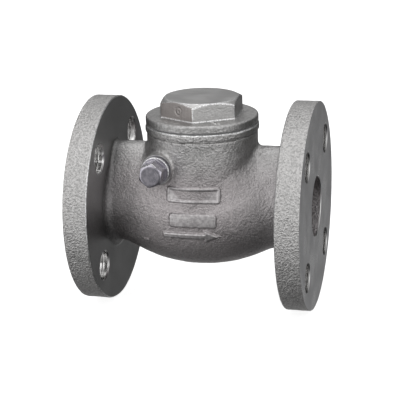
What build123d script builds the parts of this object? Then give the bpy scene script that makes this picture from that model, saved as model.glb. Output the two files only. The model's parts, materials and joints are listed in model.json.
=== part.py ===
"""Flanged swing check valve, nominal 40, cast stainless steel, with a screwed hexagon cap.

Millimetres. The origin is the centre of the inlet flange's face, +X follows the flow along the
pipe and +Z runs up the neck. The front, with the pin plug, looks along -Y.
"""

import os
from math import cos, hypot, radians, sin, sqrt, tan

from build123d import *

# Pipe and flanges
face_to_face = 153.5
bore_d = 40.0
bore_edge = 0.6
flange_d = 140.0
flange_thick = 16.0
flange_edge = 1.0
flange_root = 6.0
bolt_to_rim = 17.5
bolt_hole_d = 19.0
bolt_hole_edge = 0.5
bolt_count = 4

# Cast body, measured from the pipe axis
wall = 6.5
waist_r = 28.8
belly_r = 38.0
belly_depth = 42.7
belly_half_length = 50.0
belly_shift = -2.0
roof_r = 12.0
roof_centre_z = 28.0
steepest_side = 0.85
crease_r = 8.0

# Neck, collar and cap joint
neck_d = 74.1
collar_d = 75.8
collar_height = 5.2
collar_edge = 0.9
groove_width = 0.8
groove_depth = 0.6
neck_top_z = 55.0
seal_land = 8.5
neck_thread_length = 13.0
thread_clearance = 0.05
cap_gasket_thick = 1.0
cap_gasket_step = 1.6

# Slope of the turned corners on every hexagon
hex_slope = 28.0

# Cap
cap_flange_d = 75.0
cap_flange_thick = 4.9
cap_flange_round = 1.3
cap_hex_across = 50.0
cap_hex_height = 11.9
cap_hex_turn = 2.2
cap_hex_edge = 0.6
cap_top_d = 48.5
cap_skirt_length = 11.5
cap_skirt_wall = 6.0
cap_hollow_depth = 14.0

# Hinge pin, its bosses and the plug
pin_to_cavity_wall = 8.25
pin_z = 31.0
pin_d = 7.0
pin_clearance = 0.05
pin_end_gap = 0.2
pin_end_edge = 0.6
boss_d = 20.5
boss_front_y = 37.5
boss_back_y = 37.0
boss_root = 2.0
socket_end_y = 28.0
plug_thread_d = 12.0
plug_thread_length = 10.0
plug_thread_runout = 1.0
plug_collar_d = 19.0
plug_collar_thick = 2.4
plug_hex_across = 14.5
plug_hex_height = 11.0
plug_hex_turn = 8.0
plug_top_d = 13.0
plug_gasket_d = 18.0
plug_gasket_thick = 1.0

# Seat and disc, square to the seat's tilted plane
seat_tilt = 7.0
seat_offset = 8.0
seat_throat_d = 39.0
throat_length = 12.0
bore_end_to_pin = 12.45
seat_land = 4.1
seat_height = 3.0
seat_gap = 0.1
disc_overlap = 4.5
disc_edge_thick = 4.0
disc_boss_d = 18.0
disc_boss_rise = 7.4
disc_boss_step = 1.0
disc_recess = 0.6
disc_recess_edge = 1.2
stud_d = 10.0
stud_clearance = 0.1
stud_tail = 5.0
stack_gap = 0.1
washer_d = 20.0
washer_thick = 1.5
nut_across = 16.0
nut_height = 8.0
nut_top_d = 15.0
split_pin_d = 2.0
split_pin_hole_d = 2.4
split_pin_wire_r = 0.6
split_pin_leg = 4.5
split_pin_spread = 0.6
split_pin_eye_d = 5.0

# Swing arm
hub_d = 13.0
hub_wall_gap = 0.25
hub_side_gap = 0.3
eye_d = 21.0
eye_thick = 8.0
web_thick = 5.6
web_step = 1.2
web_width = 17.0
arm_edge = 0.8
heel_angle = 37.0
heel_thick = 4.0
heel_width = 8.0
heel_gap = 0.3
opening = 60.0

# How close an edge lies to the place where a selector looks for it
near = 0.1

# Places and sizes worked out from those above
bore_r = bore_d / 2
bolt_circle_d = flange_d - 2 * bolt_to_rim
neck_r = neck_d / 2
cavity_r = neck_r - wall
neck_x = face_to_face / 2
belly_x = neck_x + belly_shift
pin_to_neck = cavity_r - pin_to_cavity_wall
pin_x = neck_x - pin_to_neck
inlet_bore_length = pin_x - bore_end_to_pin
neck_thread_d = cap_flange_d - 2 * seal_land
cap_hollow_d = neck_thread_d - 2 * cap_skirt_wall
ledge_z = neck_top_z - neck_thread_length
collar_z = neck_top_z - collar_height
cheek_y = sqrt(cavity_r**2 - pin_to_neck**2)
throat_r = seat_throat_d / 2
disc_r = throat_r + disc_overlap
chamber_end_x = belly_x + belly_half_length - wall
outlet_bore_length = face_to_face - chamber_end_x + bore_edge
hub_r = hub_d / 2
hub_length = 2 * sqrt(cavity_r**2 - (pin_to_neck + hub_r + hub_wall_gap) ** 2)
tilt = radians(seat_tilt)
downstream = Vector(cos(tilt), 0, sin(tilt))
downhill = Vector(sin(tilt), 0, -cos(tilt))
# The stud crosses the pipe axis at the height of the seat face.
stud_drop = (pin_z - seat_offset * sin(tilt)) / cos(tilt)
# The swing plane holds the pin: its X runs down towards the stud, its Z away from the seat.
swing = Plane(origin=(pin_x, 0, pin_z), x_dir=downhill, z_dir=downstream)
seat_plane = swing.offset(-seat_offset)
stud_foot = swing.from_local_coords((stud_drop, 0, 0))
stud_side = Plane(origin=stud_foot, x_dir=(0, 1, 0), z_dir=downhill)
stud_axis = Axis(stud_foot, downstream)
disc_face = -seat_offset + seat_gap
boss_face = disc_face + disc_boss_rise
eye_face = boss_face + stack_gap
washer_face = eye_face + eye_thick + stack_gap
nut_face = washer_face + washer_thick
stud_end = nut_face + nut_height + stud_tail
split_pin_level = nut_face + nut_height + split_pin_hole_d / 2
split_pin_spot = swing.from_local_coords((stud_drop, 0, split_pin_level))
split_pin_reach = (stud_d + split_pin_d) / 2
plug_face_y = boss_front_y + plug_gasket_thick
plug_end_y = plug_face_y - plug_thread_length
plug_top_y = plug_face_y + plug_collar_thick + plug_hex_height
cap_face_z = neck_top_z + cap_gasket_thick
hex_top_z = cap_face_z + cap_flange_thick + cap_hex_height
# Fully open, the heel stands at heel_angle from upright with its corner just off the neck's wall.
heel_room = sqrt(cavity_r**2 - heel_width**2 / 4) - pin_to_neck - heel_gap
open_heel = radians(heel_angle)
heel_reach = (heel_room - heel_thick / 2 * cos(open_heel)) / sin(open_heel)
heel_lean = opening - heel_angle
belly_arc_r = (belly_half_length**2 + (belly_depth - waist_r) ** 2) / (2 * (belly_depth - waist_r))


def belly_station(x):
    """Radius and centre height of the belly's round underside at a distance along the pipe."""
    away = min(abs(x - belly_x), belly_half_length)
    depth = belly_depth - (belly_arc_r - sqrt(belly_arc_r**2 - away**2))
    share = (depth - waist_r) / (belly_depth - waist_r)
    radius = waist_r + (belly_r - waist_r) * share
    return radius, radius - depth


def pear_outline(x, inset=0.0):
    """Round underside and narrow roof joined by two straight tangents, drawn across the pipe."""
    low_r, low_z = belly_station(x)
    low_r -= inset
    rise = roof_centre_z - low_z
    top_r = max(roof_r - inset, low_r - steepest_side * rise)
    slope = (low_r - top_r) / rise
    across = sqrt(1 - slope**2)
    low = (low_r * across, low_z + low_r * slope)
    high = (top_r * across, roof_centre_z + top_r * slope)
    ThreePointArc((-low[0], low[1]), (0, low_z - low_r), low)
    Line(low, high)
    ThreePointArc(high, (0, roof_centre_z + top_r), (-high[0], high[1]))
    Line((-high[0], high[1]), (-low[0], low[1]))


def stations(start, end, count):
    """Evenly spaced distances along the pipe, both ends included."""
    return [start + (end - start) * i / (count - 1) for i in range(count)]


def on_neck(edge):
    """True for the crease where the neck's cylinder leaves the belly and its bridges."""
    middle = edge.position_at(0.5)
    return abs(hypot(middle.X - neck_x, middle.Y) - neck_r) < near and middle.Z < collar_z - near


def at_flange_back(edge):
    """True for the belly's outline where it meets the back of either flange."""
    middle = edge.position_at(0.5)
    at_back = min(abs(middle.X - flange_thick), abs(middle.X - face_to_face + flange_thick)) < near
    return at_back and hypot(middle.Y, middle.Z) < (bolt_circle_d - bolt_hole_d) / 2


def at_flange_face(edge):
    """True for an edge on the outer face of either flange."""
    return min(abs(edge.center().X), abs(edge.center().X - face_to_face)) < near


def at_boss_root(edge):
    """True for an edge where a pin boss leaves the neck or the bridge beside it."""
    middle = edge.position_at(0.5)
    on_boss = abs(hypot(middle.X - pin_x, middle.Z - pin_z) - boss_d / 2) < near
    return on_boss and cheek_y / 2 + near < abs(middle.Y) < min(boss_front_y, boss_back_y) - near


def round_edge(radius):
    """Selector of full or part circles of one radius."""
    return lambda edge: edge.geom_type == GeomType.CIRCLE and abs(edge.radius - radius) < near


def corner_cut(centre, flat_r, across, top, slope):
    """Triangle that a revolve takes off the corners of a hexagon, down from its flat round top."""
    out = across / sqrt(3) + 1
    drop = (out - flat_r) * tan(radians(slope))
    return (centre + flat_r, top), (centre + out, top), (centre + out, top - drop)


# Hollow of the chamber, cut off square to the tilted seat
with BuildPart() as chamber:
    for x in stations(neck_x - cavity_r - wall, chamber_end_x, 8):
        with BuildSketch(Plane.YZ.offset(x)):
            with BuildLine():
                pear_outline(x, wall)
            make_face()
    loft()
    with BuildSketch(Plane.XY):
        with Locations((neck_x, 0)):
            Circle(cavity_r)
    extrude(amount=ledge_z)
    split(bisect_by=seat_plane.offset(-seat_height), keep=Keep.TOP)

# Body casting
with BuildPart() as body:
    for x in [flange_thick / 2, *stations(belly_x - belly_half_length, belly_x + belly_half_length, 9)]:
        with BuildSketch(Plane.YZ.offset(x)):
            with BuildLine():
                pear_outline(x)
            make_face()
    with BuildSketch(Plane.YZ.offset(face_to_face - flange_thick / 2)):
        with BuildLine():
            pear_outline(face_to_face - flange_thick / 2)
        make_face()
    loft()
    with BuildSketch(Plane.XY):
        with Locations((neck_x, 0)):
            Circle(neck_r)
    extrude(amount=collar_z)
    fillet(body.edges().filter_by(on_neck), crease_r)

    # Flanges with a cast root where they meet the belly
    for start in (0, face_to_face - flange_thick):
        with BuildSketch(Plane.YZ.offset(start)):
            Circle(flange_d / 2)
        extrude(amount=flange_thick)
    fillet(body.edges().filter_by(at_flange_back), flange_root)
    chamfer(body.edges().filter_by(round_edge(flange_d / 2)), flange_edge)

    # Round bosses at the ends of the hinge pin, the front one faced for the plug
    for side, reach in ((1, boss_front_y), (-1, boss_back_y)):
        with BuildSketch(Plane.XZ.offset(side * reach)):
            with Locations((pin_x, pin_z)):
                Circle(boss_d / 2)
        extrude(amount=side * (cheek_y / 2 - reach))
    fillet(body.edges().filter_by(at_boss_root), boss_root)

    # Collar round the neck's mouth, above a narrow groove
    with BuildSketch(Plane.XY.offset(collar_z)):
        with Locations((neck_x, 0)):
            Circle(neck_r - groove_depth)
    extrude(amount=groove_width)
    with BuildSketch(Plane.XY.offset(collar_z + groove_width)):
        with Locations((neck_x, 0)):
            Circle(collar_d / 2)
    extrude(amount=neck_top_z - collar_z - groove_width)
    chamfer(body.edges().filter_by(round_edge(collar_d / 2)), collar_edge)

    # Chamber, seat ring on its tilted end wall, and the bores through both flanges
    add(chamber.part, mode=Mode.SUBTRACT)
    with BuildSketch(seat_plane):
        with Locations((stud_drop, 0)):
            Circle(throat_r + seat_land)
    extrude(amount=-seat_height - wall / 2)
    for start, length in ((0, inlet_bore_length), (face_to_face, -outlet_bore_length)):
        with BuildSketch(Plane.YZ.offset(start)):
            Circle(bore_r)
        extrude(amount=length, mode=Mode.SUBTRACT)
    with BuildSketch(seat_plane):
        with Locations((stud_drop, 0)):
            Circle(throat_r)
    extrude(amount=-throat_length, mode=Mode.SUBTRACT)
    chamfer(body.edges().filter_by(round_edge(bore_r)).filter_by(at_flange_face), bore_edge)

    # Round cheeks inside that carry the hinge pin on both sides of the arm's hub
    for side in (1, -1):
        with BuildSketch(Plane.XZ.offset(side * (hub_length / 2 + hub_side_gap))):
            with Locations((pin_x, pin_z)):
                Circle(hub_r)
        extrude(amount=side * (cheek_y - hub_length / 2))

    # Threaded mouth for the cap
    with BuildSketch(Plane.XY.offset(ledge_z)):
        with Locations((neck_x, 0)):
            Circle(neck_thread_d / 2)
    extrude(amount=neck_thread_length, mode=Mode.SUBTRACT)

    # Hinge pin bore, blind at the back, and the plug's thread in the front boss
    with BuildSketch(Plane.XZ.offset(-socket_end_y)):
        with Locations((pin_x, pin_z)):
            Circle(pin_d / 2 + pin_clearance)
    extrude(amount=socket_end_y + plug_end_y, mode=Mode.SUBTRACT)
    with BuildSketch(Plane.XZ.offset(boss_front_y)):
        with Locations((pin_x, pin_z)):
            Circle(plug_thread_d / 2)
    extrude(amount=plug_end_y - plug_thread_runout - boss_front_y, mode=Mode.SUBTRACT)

    # Bolt holes straddle the upright centre line of both flanges
    for start in (0, face_to_face - flange_thick):
        with BuildSketch(Plane.YZ.offset(start)):
            with PolarLocations(bolt_circle_d / 2, bolt_count, start_angle=180 / bolt_count):
                Circle(bolt_hole_d / 2)
        extrude(amount=flange_thick, mode=Mode.SUBTRACT)
    chamfer(body.edges().filter_by(round_edge(bolt_hole_d / 2)), bolt_hole_edge)

# Gasket between neck and cap
with BuildPart() as cap_gasket:
    with BuildSketch(Plane.XY.offset(neck_top_z)):
        with Locations((neck_x, 0)):
            Circle(cap_flange_d / 2 - cap_gasket_step)
            Circle(neck_thread_d / 2, mode=Mode.SUBTRACT)
    extrude(amount=cap_gasket_thick)

# Screwed cap: round flange, hexagon head, hollow threaded skirt
with BuildPart() as cap:
    with BuildSketch(Plane.XY.offset(cap_face_z)):
        with Locations((neck_x, 0)):
            Circle(cap_flange_d / 2)
    extrude(amount=cap_flange_thick)
    fillet(cap.edges().group_by(Axis.Z)[-1], cap_flange_round)
    with BuildSketch(Plane.XY.offset(cap_face_z + cap_flange_thick)):
        with Locations((neck_x, 0)):
            RegularPolygon(cap_hex_across / 2, 6, major_radius=False, rotation=30 + cap_hex_turn)
    extrude(amount=cap_hex_height)
    fillet(cap.edges().filter_by(Axis.Z), cap_hex_edge)
    with BuildSketch(Plane.XZ):
        with BuildLine():
            Polyline(
                *corner_cut(neck_x, cap_top_d / 2, cap_hex_across, hex_top_z, hex_slope),
                close=True,
            )
        make_face()
    revolve(axis=Axis((neck_x, 0, 0), (0, 0, 1)), mode=Mode.SUBTRACT)
    with BuildSketch(Plane.XY.offset(cap_face_z)):
        with Locations((neck_x, 0)):
            Circle(neck_thread_d / 2 - thread_clearance)
    extrude(amount=-cap_skirt_length)
    with BuildSketch(Plane.XY.offset(cap_face_z - cap_skirt_length)):
        with Locations((neck_x, 0)):
            Circle(cap_hollow_d / 2)
    extrude(amount=cap_hollow_depth, mode=Mode.SUBTRACT)

# Washer under the plug's collar
with BuildPart() as pin_plug_gasket:
    with BuildSketch(Plane.XZ.offset(boss_front_y)):
        with Locations((pin_x, pin_z)):
            Circle(plug_gasket_d / 2)
            Circle(plug_thread_d / 2, mode=Mode.SUBTRACT)
    extrude(amount=plug_gasket_thick)

# Plug that closes the pin's bore: thread, round collar, hexagon head
with BuildPart() as pin_plug:
    with BuildSketch(Plane.XZ.offset(plug_end_y)):
        with Locations((pin_x, pin_z)):
            Circle(plug_thread_d / 2 - thread_clearance)
    extrude(amount=plug_thread_length)
    with BuildSketch(Plane.XZ.offset(plug_face_y)):
        with Locations((pin_x, pin_z)):
            Circle(plug_collar_d / 2)
    extrude(amount=plug_collar_thick)
    with BuildSketch(Plane.XZ.offset(plug_face_y + plug_collar_thick)):
        with Locations((pin_x, pin_z)):
            RegularPolygon(plug_hex_across / 2, 6, major_radius=False, rotation=30 - plug_hex_turn)
    extrude(amount=plug_hex_height)
    plug_corner = corner_cut(pin_x, plug_top_d / 2, plug_hex_across, plug_top_y, hex_slope)
    with BuildSketch(Plane.XY.offset(pin_z)):
        with BuildLine():
            Polyline(*[(x, -y) for x, y in plug_corner], close=True)
        make_face()
    revolve(axis=Axis((pin_x, 0, pin_z), (0, 1, 0)), mode=Mode.SUBTRACT)

# Hinge pin across the neck
with BuildPart() as hinge_pin:
    with BuildSketch(Plane.XZ.offset(pin_end_gap - socket_end_y)):
        with Locations((pin_x, pin_z)):
            Circle(pin_d / 2)
    extrude(amount=socket_end_y + plug_end_y - 2 * pin_end_gap)
    chamfer(hinge_pin.edges().filter_by(GeomType.CIRCLE), pin_end_edge)

# Swing arm: hub on the pin, web, eye round the stud, heel that stops it against the neck
with BuildPart() as swing_arm:
    with BuildSketch(Plane.XZ.offset(-hub_length / 2)):
        with Locations((pin_x, pin_z)):
            Circle(hub_r)
    extrude(amount=hub_length)
    with BuildSketch(swing.offset(eye_face + web_step)):
        with Locations((stud_drop, 0)):
            Circle(eye_d / 2 - arm_edge)
        Rectangle(hub_r, web_width)
        make_hull()
    extrude(amount=web_thick)
    with BuildSketch(swing.offset(eye_face)):
        with Locations((stud_drop, 0)):
            Circle(eye_d / 2)
    extrude(amount=eye_thick)
    with BuildSketch(Plane.XZ.offset(-heel_width / 2)):
        with Locations((pin_x, pin_z)):
            Rectangle(heel_thick, heel_reach, align=(Align.CENTER, Align.MIN), rotation=-heel_lean)
    extrude(amount=heel_width)
    with BuildSketch(Plane.XZ.offset(-hub_length / 2)):
        with Locations((pin_x, pin_z)):
            Circle(pin_d / 2 + pin_clearance)
    extrude(amount=hub_length, mode=Mode.SUBTRACT)
    with BuildSketch(swing.offset(eye_face)):
        with Locations((stud_drop, 0)):
            Circle(stud_d / 2 + stud_clearance)
    extrude(amount=eye_thick, mode=Mode.SUBTRACT)

# Disc with its threaded stud, turned about the stud's axis
with BuildPart() as disc:
    with BuildSketch(stud_side):
        with BuildLine():
            Polyline(
                (0, disc_face + disc_recess),
                (throat_r - disc_recess_edge, disc_face + disc_recess),
                (throat_r - disc_recess_edge, disc_face),
                (disc_r, disc_face),
                (disc_r, disc_face + disc_edge_thick),
                (disc_boss_d / 2, boss_face - disc_boss_step),
                (disc_boss_d / 2, boss_face),
                (stud_d / 2, boss_face),
                (stud_d / 2, stud_end),
                (0, stud_end),
                close=True,
            )
        make_face()
    revolve(axis=stud_axis)
    chamfer(disc.edges().filter_by(round_edge(stud_d / 2)).sort_by(Axis.X)[-1], pin_end_edge)
    with BuildSketch(Plane.XZ.offset(-stud_d)):
        with Locations((split_pin_spot.X, split_pin_spot.Z)):
            Circle(split_pin_hole_d / 2)
    extrude(amount=2 * stud_d, mode=Mode.SUBTRACT)

# Washer behind the arm's eye
with BuildPart() as disc_washer:
    with BuildSketch(swing.offset(washer_face)):
        with Locations((stud_drop, 0)):
            Circle(washer_d / 2)
            Circle(stud_d / 2 + stud_clearance, mode=Mode.SUBTRACT)
    extrude(amount=washer_thick)

# Hexagon nut on the stud
with BuildPart() as disc_nut:
    with BuildSketch(swing.offset(nut_face)):
        with Locations((stud_drop, 0)):
            RegularPolygon(nut_across / 2, 6, major_radius=False)
            Circle(stud_d / 2 + thread_clearance, mode=Mode.SUBTRACT)
    extrude(amount=nut_height)
    with BuildSketch(stud_side):
        with BuildLine():
            Polyline(
                *corner_cut(0, nut_top_d / 2, nut_across, nut_face + nut_height, hex_slope),
                close=True,
            )
        make_face()
    revolve(axis=stud_axis, mode=Mode.SUBTRACT)

# Split pin: ring head, shank through the stud, two legs bent apart
with BuildPart() as split_pin:
    with BuildSketch(Plane.XZ.offset(-split_pin_reach)):
        with Locations((split_pin_spot.X, split_pin_spot.Z)):
            Circle(split_pin_d / 2)
    extrude(amount=2 * split_pin_reach)
    eye_spot = split_pin_spot + Vector(0, split_pin_reach + split_pin_eye_d / 2 - split_pin_d / 2, 0)
    with BuildSketch(Plane(origin=eye_spot, x_dir=(0, 1, 0), z_dir=downstream)):
        Circle(split_pin_eye_d / 2)
        Circle(split_pin_eye_d / 2 - 2 * split_pin_wire_r, mode=Mode.SUBTRACT)
    extrude(amount=split_pin_wire_r, both=True)
    for bend in (-1, 1):
        leg_way = Vector(downhill.X * bend, -split_pin_spread, downhill.Z * bend)
        leg_start = split_pin_spot - Vector(0, split_pin_reach - split_pin_wire_r, 0)
        with BuildSketch(Plane(origin=leg_start, z_dir=leg_way)):
            Circle(split_pin_wire_r)
        extrude(amount=split_pin_leg)

pieces = {
    "body": body,
    "cap": cap,
    "cap_gasket": cap_gasket,
    "pin_plug": pin_plug,
    "pin_plug_gasket": pin_plug_gasket,
    "hinge_pin": hinge_pin,
    "swing_arm": swing_arm,
    "disc": disc,
    "disc_washer": disc_washer,
    "disc_nut": disc_nut,
    "split_pin": split_pin,
}
os.makedirs("parts", exist_ok=True)
for name, piece in pieces.items():
    piece.part.label = name
    export_step(piece.part, f"parts/{name}.step")
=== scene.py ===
# %% [markdown]
# # A flanged swing check valve in cast stainless steel
# A swing check valve lets a liquid flow one way. Its body is one rough casting with a round
# flange at each end, and only the faces that seal or turn are machined. The construction model
# gives every size, and this file makes the looks: a better skin for the casting, the cap and the
# small plug, and the finish of every surface. All of it stays in the model's own frame.

# %% Load the construction model
import json
import math

import bmesh
import bpy
import numpy as np
from mathutils import Matrix, Vector

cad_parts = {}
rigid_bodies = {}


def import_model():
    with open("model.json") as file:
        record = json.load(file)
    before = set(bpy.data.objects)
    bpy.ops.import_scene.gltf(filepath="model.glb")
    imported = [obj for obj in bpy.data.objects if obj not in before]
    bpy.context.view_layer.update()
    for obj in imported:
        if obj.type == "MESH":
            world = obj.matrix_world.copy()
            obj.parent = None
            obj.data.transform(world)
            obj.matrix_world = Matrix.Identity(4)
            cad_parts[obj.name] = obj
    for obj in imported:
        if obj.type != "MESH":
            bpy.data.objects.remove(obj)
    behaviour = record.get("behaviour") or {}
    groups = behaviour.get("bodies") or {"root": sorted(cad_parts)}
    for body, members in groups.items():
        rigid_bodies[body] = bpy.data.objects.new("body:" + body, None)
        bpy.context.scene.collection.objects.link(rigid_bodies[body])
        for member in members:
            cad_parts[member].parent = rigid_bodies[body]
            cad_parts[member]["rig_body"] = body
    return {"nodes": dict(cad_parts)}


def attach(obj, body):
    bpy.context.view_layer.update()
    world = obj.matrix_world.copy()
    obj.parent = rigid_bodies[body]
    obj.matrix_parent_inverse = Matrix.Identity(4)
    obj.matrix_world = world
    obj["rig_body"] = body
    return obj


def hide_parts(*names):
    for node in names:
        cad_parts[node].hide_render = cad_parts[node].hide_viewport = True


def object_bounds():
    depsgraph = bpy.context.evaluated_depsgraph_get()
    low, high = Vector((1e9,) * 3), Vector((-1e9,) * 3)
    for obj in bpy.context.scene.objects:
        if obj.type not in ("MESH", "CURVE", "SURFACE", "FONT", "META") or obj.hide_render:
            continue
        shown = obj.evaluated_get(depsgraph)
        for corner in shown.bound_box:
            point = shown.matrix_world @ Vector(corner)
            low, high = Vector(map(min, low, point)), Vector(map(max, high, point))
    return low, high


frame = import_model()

cad_box = [list(corner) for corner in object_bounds()]
print("pieces in the model:", ", ".join(sorted(frame["nodes"])))

# %% [markdown]
# ## The camera
# The photograph was taken from the front right and a little above, with a long lens, so the two
# flanges are almost the same size. The place and the lens were worked out from the rims of both
# flanges and their bolt holes, which are circles of a known size. A camera looks along its own
# minus Z, so its three axes are written straight into its matrix.

# %% Camera
camera_spot = Vector((0.282706, -0.822438, 0.266036))
camera_azimuth, camera_elevation, camera_roll = (math.radians(a) for a in (14.253, 17.394, -1.542))

back = Vector((
    math.sin(camera_azimuth) * math.cos(camera_elevation),
    -math.cos(camera_azimuth) * math.cos(camera_elevation),
    math.sin(camera_elevation),
))
level = (-back).cross(Vector((0, 0, 1))).normalized()
upright = level.cross(-back)
right = math.cos(camera_roll) * level + math.sin(camera_roll) * upright
top = -math.sin(camera_roll) * level + math.cos(camera_roll) * upright
camera = bpy.data.objects.new("camera", bpy.data.cameras.new("camera"))
camera.data.lens, camera.data.sensor_width = 117.98, 36.0
camera.matrix_world = Matrix.Translation(camera_spot) @ Matrix((right, top, back)).transposed().to_4x4()
bpy.context.scene.collection.objects.link(camera)
bpy.context.scene.camera = camera
print("camera", [round(c, 3) for c in camera_spot], "lens", camera.data.lens)

# %% [markdown]
# ## Node trees written as sums
# Materials, the sky and Geometry Nodes are all trees of nodes. `Bench.node` makes any node:
# its settings first, then the values or links of its sockets. It hands back a `Term`, which
# knows how to add, subtract and multiply, so that a pattern reads like a formula.

# %% Bench and Term
class Term:
    """What comes out of a node's socket, ready to be used in a sum."""

    def __init__(self, bench, socket):
        self.bench, self.socket = bench, socket

    def math(self, operation, *values):
        return self.bench.node("ShaderNodeMath", {"operation": operation}, dict(enumerate(values)))

    def __add__(self, other):
        return self.math("ADD", self, other)

    def __sub__(self, other):
        return self.math("SUBTRACT", self, other)

    def __mul__(self, other):
        return self.math("MULTIPLY", self, other)

    def spread(self, low, high, new_low=0.0, new_high=1.0):
        """The part of a value between low and high, eased and stretched to a new range."""
        return self.bench.node(
            "ShaderNodeMapRange",
            {"interpolation_type": "SMOOTHSTEP"},
            {"Value": self, "From Min": low, "From Max": high, "To Min": new_low, "To Max": new_high},
        )


class Bench:
    """A node tree being built."""

    def __init__(self, tree):
        self.tree = tree
        tree.nodes.clear()

    def node(self, kind, settings=None, values=None, output=0):
        made = self.tree.nodes.new(kind)
        for name, value in (settings or {}).items():
            setattr(made, name, value)
        for name, value in (values or {}).items():
            if isinstance(value, Term):
                self.tree.links.new(value.socket, made.inputs[name])
            else:
                made.inputs[name].default_value = value
        return Term(self, made.outputs[output]) if len(made.outputs) else made


print("bench ready")

# %% [markdown]
# ## Sizes
# The same names and values as in the construction, in millimetres, because the skin is worked
# out again here as a smooth formula. Two differ from there: the root between neck and belly is
# tight at the top and soft lower down, and the bolt holes' chamfer is wide enough to catch light.

# %% Sizes in millimetres
face_to_face, flange_thick, flange_root = 153.5, 16.0, 6.0
bore_r, bolt_circle_r, bolt_hole_r, bolt_hole_edge, bolt_count = 20.0, 52.5, 9.5, 0.9, 4
waist_r, belly_r, belly_depth, belly_half_length = 28.8, 38.0, 42.7, 50.0
roof_r, roof_centre_z, steepest_side = 12.0, 28.0, 0.85
crease_top_r, crease_r, root_top_r = 3.5, 11.0, 2.0
neck_x, neck_r, collar_r, collar_z, neck_top_z = 76.75, 37.05, 37.9, 49.65, 55.0
belly_x = neck_x - 2.0
belly_arc_r = (belly_half_length**2 + (belly_depth - waist_r) ** 2) / (2 * (belly_depth - waist_r))
pin_x, pin_z, boss_r, boss_front_y, boss_back_y, boss_root = 54.45, 31.0, 10.25, 37.5, 37.0, 2.0
neck_foot, pin_middle = (neck_x, 0, 0), (pin_x, 0, pin_z)
along_pipe, upwards, forwards = (1, 0, 0), (0, 0, 1), (0, -1, 0)
print("flange to flange", face_to_face, "mm")

# %% [markdown]
# ## Finishes
# Every surface here is bare stainless steel or dark gasket, and what tells them apart is how the
# steel was worked. The cast skin is pebbled and matt, the turned faces carry fine rings, and the
# ground hexagon has straight scratches. Each finish is one sum for its bump, one for its colour
# and one for its roughness, on Object coordinates in metres.
# The cast skin's colour also carries painted shade and painted light, and the bright edges a painted
# highlight.

# %% Finish builder
def noise(bench, at, scale, detail=2.0):
    return bench.node("ShaderNodeTexNoise", {}, {"Vector": at, "Scale": scale, "Detail": detail})


def stretched(bench, at, scale):
    return bench.node("ShaderNodeMapping", {}, {"Vector": at, "Scale": scale})


def part_of(bench, at, axis):
    """The X, Y or Z of a place or a direction."""
    return bench.node("ShaderNodeSeparateXYZ", {}, {"Vector": at}, output="XYZ".index(axis))


def only_x(bench, value):
    """A place that changes with one value only, for noise in rings or bands."""
    return bench.node("ShaderNodeCombineXYZ", {}, {"X": value})


def radius_from(bench, at, centre, axis):
    """Distance from an axis along X, Y or Z through centre, in metres."""
    moved = bench.node("ShaderNodeVectorMath", {"operation": "SUBTRACT"}, {0: at, 1: centre})
    flat = [0.0 if name == axis else 1.0 for name in "XYZ"]
    pressed = bench.node("ShaderNodeVectorMath", {"operation": "MULTIPLY"}, {0: moved, 1: flat})
    return bench.node("ShaderNodeVectorMath", {"operation": "LENGTH"}, {0: pressed}, output=1)


def finish(name, recipe):
    """A material: recipe(bench, at) gives its colour, roughness, bump height and bump depth."""
    material = bpy.data.materials.new(name)
    material.use_nodes = True
    bench = Bench(material.node_tree)
    at = bench.node("ShaderNodeTexCoord", output=3)
    look = recipe(bench, at)
    bump = bench.node("ShaderNodeBump", {}, {
        "Strength": 1.0, "Distance": look["depth"], "Height": look["height"],
    })
    steel = bench.node("ShaderNodeBsdfPrincipled", {}, {
        "Base Color": look["colour"], "Metallic": look.get("metallic", 1.0),
        "Roughness": look["roughness"], "Normal": bump,
    })
    bench.node("ShaderNodeOutputMaterial", {}, {"Surface": steel})
    return material


def shade(bench, dark, light, amount):
    """A colour between two, by an amount from 0 to 1."""
    ends = [colour if isinstance(colour, Term) else (*colour, 1) for colour in (dark, light)]
    return bench.node(
        "ShaderNodeMix", {"data_type": "RGBA", "clamp_factor": True},
        {"Factor": amount, 6: ends[0], 7: ends[1]}, output=2,
    )


print("finish builder ready")

# %% Cast finishes
def cast_relief(bench, at, depth):
    """What a mould leaves: pebbles and fine grain over slow swells, strongest on the rims."""
    pebbles, grain = noise(bench, at, 720.0), noise(bench, at, 1700.0)
    swell, cloud = noise(bench, at, 120.0, 1.0), noise(bench, at, 28.0, 3.0)
    off_axis = radius_from(bench, at, pipe_axis, "X")
    look = {
        "roughness": cloud.spread(0.3, 0.7, 0.40, 0.50) + (grain - 0.5) * 0.1,
        "height": (pebbles + grain * 0.45) * off_axis.spread(0.055, 0.064, 0.78, 1.5) + swell * 0.4,
        "depth": depth,
    }
    return look, pebbles, grain, cloud, off_axis


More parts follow.
